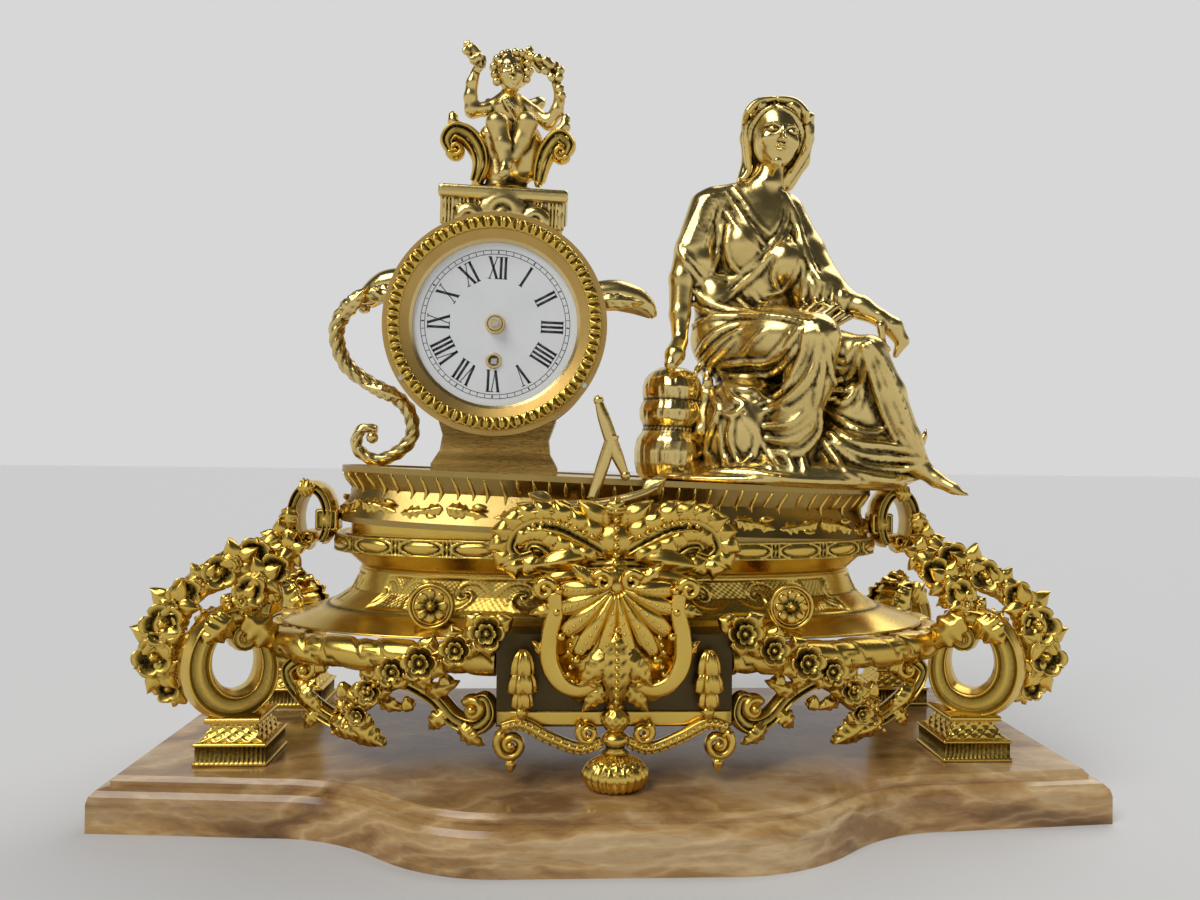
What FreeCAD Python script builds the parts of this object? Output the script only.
import FreeCAD, Part

import math
import os

V = FreeCAD.Vector
os.makedirs("parts", exist_ok=True)

# Figural mantel clock: gilt castings and a drum clock on an onyx plinth.
# Millimetres. Origin at the middle of the plinth's underside, +Z up, the dial faces -Y.

# General clearances and overruns
cut_overrun = 1.0
body_clearance = 0.3
pivot_clearance = 0.05
seat_clearance = 0.02
full_turn = 360.0

# Onyx plinth
plinth_width = 474.0
plinth_depth = 212.0
plinth_height = 23.0
plinth_band_height = 13.0
plinth_ovolo_height = 6.0
plinth_step_height = 2.0
plinth_ovolo_inset = 6.0
plinth_step_inset = 7.5
plinth_top_inset = 9.5
plinth_side_length = 165.0
plinth_swing_drop = 6.6
plinth_swing_half = 155.8
plinth_bow_half = 48.7

# Legs: block foot, tapered neck and open C-scroll
leg_x = 180.5
leg_front_y = -25.0
leg_rear_y = 72.0
foot_block_width = 35.0
foot_block_depth = 33.0
foot_block_height = 11.0
foot_neck_height = 8.0
foot_neck_width = 23.0
foot_cap_height = 3.0
foot_cap_width = 26.0
scroll_half_width = 24.0
scroll_half_height = 29.0
scroll_thickness = 22.0
scroll_turn_degrees = 35.0
scroll_offset = 2.0
scroll_volute_radius = 6.0

# Studs that hold the legs down on the plinth
stud_radius = 2.5
stud_length = 47.0
stud_hole_radius = 3.2
nut_flange_radius = 8.0
nut_flange_height = 1.5
nut_radius = 4.6
nut_height = 4.0
counterbore_radius = 9.0
counterbore_depth = 8.0

# Bombe body, rail and basin: half length, half depth of each level
base_centre_y = 21.0
plan_power = 2.6
plan_points = 24
rail_radius = 7.5
rail_height = 77.0
rail_half_length = 176.0
rail_half_depth = 76.0
rail_wall = 9.0
body_foot_half_length = 170.0
body_foot_half_depth = 72.0
body_waist_half_length = 131.0
body_waist_half_depth = 50.0
body_waist_height = 112.0
egg_band_half_length = 145.0
egg_band_half_depth = 61.0
egg_band_height = 121.0
egg_band_thickness = 9.0
body_wall = 4.0
basin_height = 160.5
basin_foot_height = 131.5
rim_half_length = 144.0
rim_half_depth = 54.0
ledge_half_length = 143.0
ledge_half_depth = 59.0
throat_half_length = 138.0
throat_half_depth = 50.0
throat_height = 149.0
rim_lip = 3.0
deck_thickness = 3.0
deck_drop = 1.0
basin_wall = 5.0

# The basin and all that stands on it lean a little out of level
lean_degrees = 2.0
lean_height = 134.0

# Clock drum
drum_x = -63.5
drum_z = 236.0
dial_face_y = -14.0
dial_radius = 46.0
dial_thickness = 1.2
bezel_radius = 57.0
bezel_front_y = -20.0
bezel_back_y = -8.0
bezel_ring_outer = 53.5
bezel_ring_inner = 48.0
bezel_opening = 43.4
bezel_rim_front_y = -16.5
bezel_rebate_clearance = 0.3
sight_opening = 41.8
sight_front_y = -17.0
case_radius = 52.0
case_wall = 2.5
case_back_y = 42.0
case_flange_radius = 56.0
case_flange_thickness = 4.0
door_radius = 54.5
door_thickness = 2.0
door_dish = 3.0
door_step_radius = 44.0
hinge_offset = 59.5
hinge_radius = 2.4
hinge_pin_radius = 1.1
hinge_height = 18.0
hinge_leaf_thickness = 2.0
door_knob_radius = 3.0
door_knob_length = 7.0
collar_radius = 5.2
collar_bore = 4.0
collar_height = 3.0
grommet_radius = 4.2
grommet_bore = 2.9
grommet_height = 1.2
pedestal_bottom_width = 66.0
pedestal_top_width = 62.0
pedestal_waist_width = 55.0
pedestal_depth = 44.0
pedestal_y = 18.0
pedestal_x = -61.5

# Movement
plate_radius = 40.0
plate_thickness = 1.8
front_plate_y = -4.0
back_plate_y = 20.0
shoulder_radius = 43.5
front_plate_radius = 48.5
pillar_radius = 2.2
pillar_circle = 34.0
pillar_degrees = (100.0, 168.0, 212.0, 330.0)
plate_screw_radius = 1.3
plate_screw_head = 2.6
arbor_radius = 0.75
pivot_radius = 0.5
centre_radius = 1.5
cannon_radius = 2.6
hour_pipe_radius = 3.6
hour_seat_radius = 3.3
hour_seat_length = 2.0
minute_seat_radius = 2.2
minute_seat_length = 1.8
cannon_front_y = -21.5
hour_pipe_front_y = -19.0
wheel_thickness = 1.2
pinion_length = 3.2
barrel_drop = 18.7
barrel_radius = 15.0
barrel_wall = 1.2
barrel_front_y = 1.0
barrel_length = 13.0
winding_radius = 1.8
winding_square = 2.8
winding_front_y = -12.6
barrel_hub_radius = 3.0
mainspring_thickness = 0.5
mainspring_turns = 4
ratchet_teeth = 16
ratchet_radius = 7.0
ratchet_depth = 1.3

great_teeth = 48
centre_pinion_teeth = 8
centre_teeth = 48
centre_module = 0.50
third_pinion_teeth = 6
third_teeth = 42
third_module = 0.47
fourth_pinion_teeth = 6
fourth_teeth = 48
fourth_module = 0.40
escape_pinion_teeth = 6
escape_teeth = 15
escape_radius = 6.5
escape_tooth_depth = 1.6
cannon_teeth = 10
minute_teeth = 30
minute_module = 0.60
minute_pinion_teeth = 8
hour_teeth = 32

third_degrees = 122.0
fourth_degrees = 22.0
escape_degrees = -4.0
lever_degrees = -40.0
balance_degrees = -62.0
minute_degrees = 150.0
lever_distance = 9.0
balance_distance = 9.6
balance_radius = 9.0
balance_rim = 1.3
balance_y = 25.0
roller_radius = 2.2

# Figures and ornament
woman_height = 215.0
putto_height = 82.0

base_top = plinth_height


def lean(shape):
    """Turns a piece on the deck with the basin, about the line where the basin meets the body."""
    return shape.rotated(V(0, 0, lean_height), V(0, 1, 0), lean_degrees)


def save(name, shape):
    """Writes one node."""
    if shape.ShapeType == "Compound" and len(shape.Solids) == 1:
        shape = shape.Solids[0]
    print(name, len(shape.Solids), round(shape.Volume), "ok" if shape.isValid() else "INVALID")
    shape.exportStep("parts/%s.step" % name)


def fuse(shapes):
    """One solid out of pieces that run into each other."""
    if len(shapes) == 1:
        return shapes[0]
    return shapes[0].multiFuse(shapes[1:])


def cuboid(centre, size):
    """A box on its middle in X and Y, and on its underside in Z."""
    corner = V(centre[0] - size[0] / 2, centre[1] - size[1] / 2, centre[2])
    return Part.makeBox(size[0], size[1], size[2], corner)


def rod(start, end, radius):
    """A round bar between two points."""
    run = V(*end) - V(*start)
    return Part.makeCylinder(radius, run.Length, V(*start), run)


def turned(profile, x, z):
    """A closed outline of radius and depth, turned about the line through x, z along Y."""
    points = [V(x + radius, y, z) for radius, y in profile]
    face = Part.Face(Part.makePolygon(points + points[:1]))
    return face.revolve(V(x, 0, z), V(0, 1, 0), full_turn)


def disc_y(x, z, radius, y, length):
    """A round bar along Y."""
    return Part.makeCylinder(radius, length, V(x, y, z), V(0, 1, 0))


def closed_spline(points):
    """A smooth closed wire through the points."""
    curve = Part.BSplineCurve()
    curve.interpolate(points, PeriodicFlag=True)
    return Part.Wire([curve.toShape()])


def plan_ring(half_length, half_depth, height):
    """A level of the base: a rounded oblong about the base's own centre."""
    points = []
    for index in range(plan_points):
        angle = 2 * math.pi * index / plan_points
        c, s = math.cos(angle), math.sin(angle)
        x = half_length * math.copysign(abs(c) ** (2 / plan_power), c)
        y = half_depth * math.copysign(abs(s) ** (2 / plan_power), s)
        points.append(V(x, base_centre_y + y, height))
    return closed_spline(points)


def stack(levels):
    """A solid through levels of half length, half depth and height, straight between them."""
    return Part.makeLoft([plan_ring(*level) for level in levels], True, True)


def eased(rows, steps):
    """More rows between the given ones, on a smooth curve through them all."""
    out = []
    last = len(rows) - 1
    for index in range(last):
        before, start, end, after = (rows[max(index - 1, 0)], rows[index], rows[index + 1],
                                     rows[min(index + 2, last)])
        for step in range(steps):
            t = step / steps
            out.append(tuple(
                b + t * ((c - a) / 2 + t * ((2 * a - 5 * b + 4 * c - d) / 2 + t * (3 * b - 3 * c + d - a)
                                            / 2))
                for a, b, c, d in zip(before, start, end, after)))
    return out + [tuple(rows[last])]


def limb(places, radii, flat=1.0, sides=10, steps=1):
    """A tapering round form along places, its section squeezed along Y by the flat share."""
    rows = eased([tuple(place) + (radius,) for place, radius in zip(places, radii)], steps)
    places = [row[:3] for row in rows]
    radii = [row[3] for row in rows]
    wires = []
    last = len(places) - 1
    for index, place in enumerate(places):
        here = V(*place)
        ahead = V(*places[min(index + 1, last)]) - V(*places[max(index - 1, 0)])
        ahead.normalize()
        across = V(0, 1, 0).cross(ahead)
        if across.Length < body_clearance:
            across = V(1, 0, 0)
        across.normalize()
        level = ahead.cross(across)
        points = []
        for side in range(sides):
            angle = 2 * math.pi * side / sides
            step = across * (radii[index] * math.cos(angle))
            points.append(here + step + level * (radii[index] * flat * math.sin(angle)))
        wires.append(Part.makePolygon(points + points[:1]))
    return Part.makeLoft(wires, True, True)


def oval_form(rows, sides=12):
    """A standing form through rows of centre x, y, z, half width and half depth."""
    wires = []
    for x, y, z, half_width, half_depth in rows:
        points = []
        for side in range(sides):
            angle = 2 * math.pi * side / sides
            points.append(V(x + half_width * math.cos(angle), y + half_depth * math.sin(angle), z))
        wires.append(Part.makePolygon(points + points[:1]))
    return Part.makeLoft(wires, True, True)


def band(centre_line, widths, y, thickness):
    """A flat scroll: a strip of varying width along a line in the XZ plane, thick along Y."""
    outer = []
    inner = []
    last = len(centre_line) - 1
    for index, (x, z) in enumerate(centre_line):
        before = centre_line[max(index - 1, 0)]
        after = centre_line[min(index + 1, last)]
        run = V(after[0] - before[0], 0, after[1] - before[1])
        run.normalize()
        side = V(run.z, 0, -run.x) * (widths[index] / 2)
        outer.append(V(x, y, z) + side)
        inner.append(V(x, y, z) - side)
    points = outer + inner[::-1]
    face = Part.Face(Part.makePolygon(points + points[:1]))
    return face.extrude(V(0, thickness, 0))


def arc_line(x, z, half_width, half_height, start, end, steps):
    """Points along an oval arc, from one angle in degrees to another."""
    line = []
    for index in range(steps + 1):
        angle = math.radians(start + (end - start) * index / steps)
        line.append((x + half_width * math.cos(angle), z + half_height * math.sin(angle)))
    return line


def even_widths(first, middle, last, count):
    """Widths that swell from the first to the middle and shrink to the last."""
    widths = []
    for index in range(count):
        share = index / (count - 1)
        if share < 0.5:
            widths.append(first + (middle - first) * 2 * share)
        else:
            widths.append(middle + (last - middle) * (2 * share - 1))
    return widths


# Onyx plinth with a serpentine stepped front
def plinth_outline(height):
    """The plinth's edge: straight back and sides, two equal arcs each side of a flat bow."""
    half = plinth_width / 2
    back = plinth_depth / 2
    corner = back - plinth_side_length
    start = V(plinth_swing_half, corner - plinth_swing_drop, height)
    end = V(plinth_bow_half, -plinth_depth / 2, height)
    across = start.x - end.x
    down = start.y - end.y
    radius = (across ** 2 + down ** 2) / (4 * down)
    middle = V((start.x + end.x) / 2, (start.y + end.y) / 2, height)
    quarter = math.atan2(down, across)
    first = V(start.x - radius * math.sin(quarter), start.y - radius + radius * math.cos(quarter), height)
    second = V(end.x + radius * math.sin(quarter), end.y + radius - radius * math.cos(quarter), height)

    def other(point):
        return V(-point.x, point.y, height)

    corner_right = V(half, corner, height)
    back_right = V(half, back, height)
    edges = [
        Part.LineSegment(other(back_right), back_right).toShape(),
        Part.LineSegment(back_right, corner_right).toShape(),
        Part.LineSegment(corner_right, start).toShape(),
        Part.Arc(start, first, middle).toShape(),
        Part.Arc(middle, second, end).toShape(),
        Part.LineSegment(end, other(end)).toShape(),
        Part.Arc(other(end), other(second), other(middle)).toShape(),
        Part.Arc(other(middle), other(first), other(start)).toShape(),
        Part.LineSegment(other(start), other(corner_right)).toShape(),
        Part.LineSegment(other(corner_right), other(back_right)).toShape(),
    ]
    return Part.Wire(edges)


def plinth_level(inset, height):
    """The outline drawn in by an inset at a height."""
    wire = plinth_outline(height)
    if inset > 0:
        wire = wire.makeOffset2D(-inset, 2)
    return wire


leg_places = []
for leg_side, side_name in ((-1, "left"), (1, "right")):
    for leg_y, depth_sign, depth_name in ((leg_front_y, -1, "front"), (leg_rear_y, 1, "rear")):
        leg_places.append((leg_side * leg_x, leg_y, leg_side, depth_sign, depth_name + "_" + side_name))


def make_plinth():
    ovolo_top = plinth_band_height + plinth_ovolo_height
    step_top = ovolo_top + plinth_step_height
    levels = [(0, 0), (0, plinth_band_height)]
    ovolo_steps = 3
    for index in range(1, ovolo_steps + 1):
        angle = math.pi / 2 * index / ovolo_steps
        rise = plinth_ovolo_height * math.sin(angle)
        levels.append((plinth_ovolo_inset * (1 - math.cos(angle)), plinth_band_height + rise))
    levels.append((plinth_step_inset, ovolo_top))
    levels.append((plinth_step_inset, step_top))
    levels.append((plinth_top_inset, plinth_height))
    slabs = []
    for (inset_low, low), (inset_high, high) in zip(levels, levels[1:]):
        if high > low:
            slabs.append(Part.makeLoft([plinth_level(inset_low, low), plinth_level(inset_high, high)], True,
                                       True))
    plinth = fuse(slabs)
    for x, y, _, _, _ in leg_places:
        plinth = plinth.cut(rod((x, y, -cut_overrun), (x, y, plinth_height + cut_overrun), stud_hole_radius))
        plinth = plinth.cut(rod((x, y, -cut_overrun), (x, y, counterbore_depth), counterbore_radius))
    return plinth


def hexagon_nut(x, y, z, radius, height):
    """A six-sided nut or head standing on z."""
    points = []
    for index in range(6):
        angle = math.pi / 3 * index
        points.append(V(x + radius * math.cos(angle), y + radius * math.sin(angle), z))
    return Part.Face(Part.makePolygon(points + points[:1])).extrude(V(0, 0, height))


nut_z = counterbore_depth - nut_flange_height - nut_height


def make_studs():
    studs = []
    nuts = []
    for x, y, _, _, _ in leg_places:
        bore = rod((x, y, nut_z), (x, y, counterbore_depth), stud_radius)
        studs.append(rod((x, y, nut_z), (x, y, nut_z + stud_length), stud_radius))
        flange = rod((x, y, nut_z + nut_height), (x, y, counterbore_depth), nut_flange_radius)
        nuts.append(hexagon_nut(x, y, nut_z, nut_radius, nut_height).fuse(flange).cut(bore))
    return Part.makeCompound(studs), Part.makeCompound(nuts)


# Base casting levels
rail_low = rail_height - rail_radius
rail_high = rail_height + rail_radius


def make_rail_core():
    """The rail's outside as a filled block, for cutting what meets it."""
    rise = rail_radius * math.sin(math.pi / 4)
    reach = rail_radius * math.cos(math.pi / 4)
    levels = []
    for lift, out in ((-rail_radius, -rail_radius / 2), (-rise, reach / 2), (0, rail_radius),
                      (rise, reach / 2),
                      (rail_radius, -rail_radius / 2)):
        levels.append((rail_half_length + out, rail_half_depth + out, rail_height + lift))
    return stack(levels)


def make_rail(core):
    inner = stack([
        (rail_half_length - rail_wall, rail_half_depth - rail_wall, rail_low - cut_overrun),
        (rail_half_length - rail_wall, rail_half_depth - rail_wall, rail_high + cut_overrun),
    ])
    return core.cut(inner)


body_level_shares = (
    (0.0, 1.0), (0.10, 0.80), (0.30, 0.42), (0.60, 0.12), (1.0, 0.0),
)


def body_levels(wall):
    """The concave body: its swell shrinks from the foot to the waist, then it opens to the band."""
    levels = []
    for rise_share, swell_share in body_level_shares:
        height = rail_high + (body_waist_height - rail_high) * rise_share
        length = body_waist_half_length + (body_foot_half_length - body_waist_half_length) * swell_share
        depth = body_waist_half_depth + (body_foot_half_depth - body_waist_half_depth) * swell_share
        levels.append((length - wall, depth - wall, height))
    return levels


def make_body():
    top = egg_band_height + egg_band_thickness
    half_bead = egg_band_thickness / 2
    band_levels = [
        (egg_band_half_length - half_bead, egg_band_half_depth - half_bead, egg_band_height),
        (egg_band_half_length, egg_band_half_depth, egg_band_height + half_bead),
        (egg_band_half_length - half_bead, egg_band_half_depth - half_bead, top),
    ]
    raised = lean_height + plinth_band_height
    outer = fuse([stack(body_levels(0) + band_levels), stack([
        (ledge_half_length - basin_wall, ledge_half_depth - basin_wall, top),
        (ledge_half_length - basin_wall, ledge_half_depth - basin_wall, raised)])])
    inner = stack(body_levels(body_wall) + [
        (egg_band_half_length - half_bead - body_wall * 2, egg_band_half_depth - half_bead - body_wall * 2,
         raised + cut_overrun)])
    above = lean(Part.makeBox(plinth_width, plinth_depth, plinth_depth,
                              V(-plinth_width / 2, -plinth_depth / 2, basin_foot_height)))
    return outer.cut(inner).cut(above)


def basin_levels():
    return [
        (ledge_half_length, ledge_half_depth, basin_foot_height),
        (ledge_half_length, ledge_half_depth, basin_foot_height + rim_lip),
        (throat_half_length, throat_half_depth, throat_height),
        (rim_half_length, rim_half_depth, basin_height - rim_lip),
        (rim_half_length, rim_half_depth, basin_height),
    ]


deck_top = basin_height - deck_drop
deck_low = deck_top - deck_thickness


def make_basin():
    inner = stack([
        (throat_half_length - basin_wall, throat_half_depth - basin_wall, basin_foot_height - cut_overrun),
        (throat_half_length - basin_wall, throat_half_depth - basin_wall, deck_low),
    ])
    recess = stack([
        (rim_half_length - rim_lip, rim_half_depth - rim_lip, deck_low),
        (rim_half_length - rim_lip, rim_half_depth - rim_lip, basin_height + cut_overrun),
    ])
    return stack(basin_levels()).cut(inner).cut(recess)


def make_deck(holes):
    plate = stack([
        (rim_half_length - rim_lip, rim_half_depth - rim_lip, deck_low),
        (rim_half_length - rim_lip, rim_half_depth - rim_lip, deck_top),
    ])
    for hole in holes:
        plate = plate.cut(hole)
    return plate


# Legs
scroll_width_shares = (0.10, 0.20, 0.17)
scroll_start_degrees = 118.0
scroll_end_degrees = -186.0
scroll_steps = 16
leaf_rise = 6.0
leaf_radius = 10.0
leaf_reach = 30.0


def make_leg(x, y, side, depth_sign, core, body_block):
    low = base_top
    block = cuboid((x, y, low), (foot_block_width, foot_block_depth, foot_block_height))
    neck_low = low + foot_block_height
    neck_high = neck_low + foot_neck_height

    def square(half, height):
        points = [V(x - half, y - half, height), V(x + half, y - half, height),
                  V(x + half, y + half, height), V(x - half, y + half, height)]
        return Part.makePolygon(points + points[:1])

    neck = Part.makeLoft([square(foot_block_depth / 2, neck_low), square(foot_neck_width / 2, neck_high)],
                         True, True)
    cap = cuboid((x, y, neck_high), (foot_cap_width, foot_cap_width, foot_cap_height))
    size = 2 * scroll_half_width
    scroll_z = neck_high + foot_cap_height + scroll_half_height - scroll_offset
    line = arc_line(0, scroll_z, scroll_half_width * 0.80, scroll_half_height * 0.83,
                    scroll_start_degrees, scroll_end_degrees, scroll_steps)
    first, middle, last = [share * size for share in scroll_width_shares]
    scroll = band(line, even_widths(first, middle, last, len(line)), -scroll_thickness / 2, scroll_thickness)
    volute = disc_y(line[-1][0] + scroll_volute_radius / 2, line[-1][1], scroll_volute_radius,
                    -scroll_thickness / 2, scroll_thickness)
    leaf = limb(
        [(scroll_half_width * 0.25, 0, scroll_z + scroll_half_height * 0.70),
         (-scroll_half_width * 0.45, 0, scroll_z + scroll_half_height * 0.86),
         (-leaf_reach, 0, scroll_z + scroll_half_height * 0.62)],
        [leaf_rise, leaf_radius, leaf_rise], 1.0, 8)
    upper = fuse([scroll, volute, leaf])
    turn = math.degrees(math.atan2(depth_sign * math.sin(math.radians(scroll_turn_degrees)),
                                   side * math.cos(math.radians(scroll_turn_degrees))))
    upper.rotate(V(0, 0, 0), V(0, 0, 1), turn)
    upper.translate(V(x + side * scroll_offset, y, 0))
    leg = fuse([block, neck, cap, upper])
    leg = leg.cut(core).cut(body_block)
    leg = leg.cut(rod((x, y, low - cut_overrun), (x, y, nut_z + stud_length), stud_radius))
    return max(leg.Solids, key=lambda solid: solid.Volume)


# Front ornament
panel_half_width = 54.0
panel_low = 48.0
panel_high = 90.0
panel_front_y = -62.0
panel_back_y = -40.0
cartouche_thickness = 9.0
cartouche_half_width = 34.0
cartouche_low = 62.0
cartouche_high = 120.0
boss_radius = 15.0
boss_height = 15.0
boss_y = -71.0
arm_span = 50.0
arm_width = 5.0
arm_volute_radius = 7.0
pendant_x = 42.0
pendant_low = 52.0
pendant_length = 33.0
pendant_radius = 8.0

shell_outline_shares = (
    (0.0, 0.10), (0.24, 0.0), (0.60, 0.10), (0.85, 0.26), (1.0, 0.48), (0.90, 0.72), (1.06, 0.92),
    (0.80, 1.0),
    (0.55, 0.90), (0.32, 0.97), (0.0, 0.92),
)


def make_cartouche(panel_block):
    """Palmette shell, pendant leaf, pierced arms with volutes and the boss that stands on the plinth."""
    height = cartouche_high - cartouche_low
    right = [(x * cartouche_half_width, cartouche_low + z * height) for x, z in shell_outline_shares]
    left = [(-x, z) for x, z in right[-2:0:-1]]
    points = [V(x, panel_front_y, z) for x, z in right + left]
    shell = Part.Face(Part.makePolygon(points + points[:1])).extrude(V(0, -cartouche_thickness, 0))
    middle_y = panel_front_y - cartouche_thickness / 2
    leaf = limb([(0, middle_y - arm_width / 2, cartouche_low + height * 0.55),
                 (0, middle_y - arm_width, cartouche_low),
                 (0, middle_y, panel_low + arm_width)],
                [arm_width, arm_width * 2.2, arm_width], 0.7, 8)
    stem = limb([(0, middle_y, panel_low + arm_width), (0, boss_y, base_top + boss_height)],
                [arm_width * 2, arm_width * 1.4], 0.8, 8)
    boss_levels = [
        (0, boss_y, base_top, boss_radius * 0.55, boss_radius * 0.45),
        (0, boss_y, base_top + boss_height * 0.35, boss_radius, boss_radius * 0.75),
        (0, boss_y, base_top + boss_height * 0.75, boss_radius * 0.95, boss_radius * 0.7),
        (0, boss_y, base_top + boss_height, boss_radius * 0.8, boss_radius * 0.5),
    ]
    boss = oval_form(boss_levels, 10)
    pieces = [shell, leaf, stem, boss]
    arm_z = base_top + boss_height + arm_width
    for side in (-1, 1):
        line = [(0, arm_z), (side * arm_span * 0.24, arm_z - arm_width * 0.3),
                (side * arm_span * 0.55, arm_z + arm_width),
                (side * arm_span * 0.85, arm_z + arm_width * 2.4),
                (side * arm_span * 1.08, arm_z + arm_width * 1.2)]
        pieces.append(band(line, [arm_width] * len(line), middle_y - arm_width / 2, arm_width))
        pieces.append(disc_y(side * (arm_span - arm_width / 2), arm_z, arm_volute_radius,
                             middle_y - arm_width / 2,
                             arm_width))
    cartouche = fuse(pieces)
    return cartouche.cut(panel_block)


def make_panel():
    block = Part.makeBox(2 * panel_half_width, panel_back_y - panel_front_y, panel_high - panel_low,
                         V(-panel_half_width, panel_front_y, panel_low))
    return block


def make_pendant(side):
    top = pendant_low + pendant_length
    y = panel_front_y - pendant_radius * 0.8
    rows = [
        (side * pendant_x, y, pendant_low, pendant_radius * 0.15, pendant_radius * 0.15),
        (side * pendant_x, y, pendant_low + pendant_length * 0.12, pendant_radius * 0.6,
         pendant_radius * 0.6),
        (side * pendant_x, y, pendant_low + pendant_length * 0.32, pendant_radius * 0.55,
         pendant_radius * 0.55),
        (side * pendant_x, y, pendant_low + pendant_length * 0.45, pendant_radius * 0.8,
         pendant_radius * 0.78),
        (side * pendant_x, y, pendant_low + pendant_length * 0.80, pendant_radius, pendant_radius * 0.78),
        (side * pendant_x, y, top, pendant_radius * 0.4, pendant_radius * 0.4),
    ]
    return oval_form(rows, 8)


# Openwork aprons under the rail
apron_outer_x = 158.0
apron_inner_x = 57.0
apron_depth = 8.0
apron_outer_y = -24.0
apron_inner_y = -57.0
apron_band = 8.0
apron_line_shares = (
    (0.06, 0.98), (0.00, 0.80), (0.06, 0.52), (0.20, 0.24), (0.36, 0.08), (0.46, 0.00),
)
apron_inner_shares = (
    (0.24, 0.22), (0.38, 0.42), (0.50, 0.72), (0.60, 0.80), (0.74, 0.62), (0.84, 0.36), (0.94, 0.30),
    (1.0, 0.46),
    (0.98, 0.66),
)
apron_low = 36.0


def make_apron(side, core, panel_block):
    run = apron_outer_x - apron_inner_x
    rise = rail_low - apron_low
    turn = math.degrees(math.atan2(apron_outer_y - apron_inner_y, run))
    pieces = []
    for shares, widths in ((apron_line_shares, (1.0, 0.9, 0.9, 0.9, 1.2, 1.6)),
                           (apron_inner_shares, (0.8, 0.9, 1.0, 1.0, 1.0, 1.1, 1.2, 1.2, 1.0))):
        line = [(run * x, apron_low + rise * z * 1.06) for x, z in shares]
        pieces.append(band(line, [width * apron_band for width in widths], -apron_depth / 2, apron_depth))
    pieces.append(disc_y(run * 0.10, apron_low + rise * 0.88, apron_band, -apron_depth / 2, apron_depth))
    pieces.append(disc_y(run * 0.93, apron_low + rise * 0.52, apron_band, -apron_depth / 2, apron_depth))
    apron = fuse(pieces)
    apron.rotate(V(0, 0, 0), V(0, 0, 1), -turn)
    apron.translate(V(-apron_outer_x, apron_outer_y, 0))
    if side > 0:
        apron = apron.mirror(V(0, 0, 0), V(1, 0, 0))
    return apron.cut(core).cut(panel_block)


# Garlands, brackets, crest, flowers
bracket_x = 156.0
bracket_z = 138.0
bracket_y = 8.0
bracket_half_width = 12.0
bracket_half_height = 19.0
bracket_thickness = 24.0
bracket_band = 6.5
bracket_block = 11.0


def make_bracket(side, body_block):
    line = arc_line(0, bracket_z, bracket_half_width, bracket_half_height, 100, 290, 10)
    pieces = [band(line, even_widths(bracket_band * 0.7, bracket_band * 1.2, bracket_band, len(line)),
                   bracket_y - bracket_thickness / 2, bracket_thickness)]
    pieces.append(disc_y(line[-1][0], line[-1][1], bracket_band, bracket_y - bracket_thickness / 2,
                         bracket_thickness))
    pieces.append(Part.makeBox(bracket_half_width + bracket_block, bracket_block, bracket_block,
                               V(-bracket_half_width, bracket_y - bracket_block / 2,
                                 bracket_z - bracket_block / 2)))
    bracket = fuse(pieces)
    bracket.translate(V(-bracket_x, 0, 0))
    if side > 0:
        bracket = bracket.mirror(V(0, 0, 0), V(1, 0, 0))
    bracket = bracket.cut(body_block)
    return max(bracket.Solids, key=lambda solid: solid.Volume)


def bud(start, end, radius, sides=6):
    """A bud or closed flower between two points."""
    places = []
    for share in (0.0, 0.3, 0.7, 1.0):
        places.append(tuple(start[k] + (end[k] - start[k]) * share for k in range(3)))
    return limb(places, [radius * 0.35, radius, radius * 0.85, radius * 0.25], 0.9, sides)


garland_route = (
    (-168.0, 0.0, 128.0), (-182.0, -9.0, 118.0), (-192.0, -13.0, 113.0), (-204.0, -17.0, 106.0),
    (-213.0, -20.0, 97.0),
    (-218.0, -22.0, 86.0), (-221.0, -23.0, 74.0), (-219.0, -22.0, 62.0), (-213.0, -20.0, 51.0),
)
garland_radii = (7.0, 10.0, 8.0, 5.0, 8.5, 9.5, 9.0, 7.5, 4.0)
inner_garland_route = (
    (-162.0, -8.0, 122.0), (-169.0, -16.0, 112.0), (-176.0, -21.0, 105.0), (-180.0, -25.0, 98.0),
)
inner_garland_radii = (7.0, 8.0, 8.0, 6.0)


def make_garland(side, cutters):
    pieces = [limb(garland_route, [radius * 0.75 for radius in garland_radii], 0.9, 7),
              limb(inner_garland_route, [radius * 0.8 for radius in inner_garland_radii], 0.9, 7)]
    for route, radii in ((garland_route, garland_radii), (inner_garland_route, inner_garland_radii)):
        for index in range(1, len(route) - 1):
            x, y, z = route[index]
            radius = radii[index]
            pieces.append(bud((x - radius * 0.4, y - radius * 0.9, z + radius * 0.5),
                              (x + radius * 0.3, y + radius * 0.5, z - radius * 0.6), radius))
    garland = fuse(pieces)
    if side > 0:
        garland = garland.mirror(V(0, 0, 0), V(1, 0, 0))
    for cutter in cutters:
        garland = garland.cut(cutter)
    return max(garland.Solids, key=lambda solid: solid.Volume)


crest_half_width = 54.0
crest_z = 131.0
crest_front_y = -58.0
crest_back_y = -38.0
crest_ball_radius = 12.0


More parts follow.
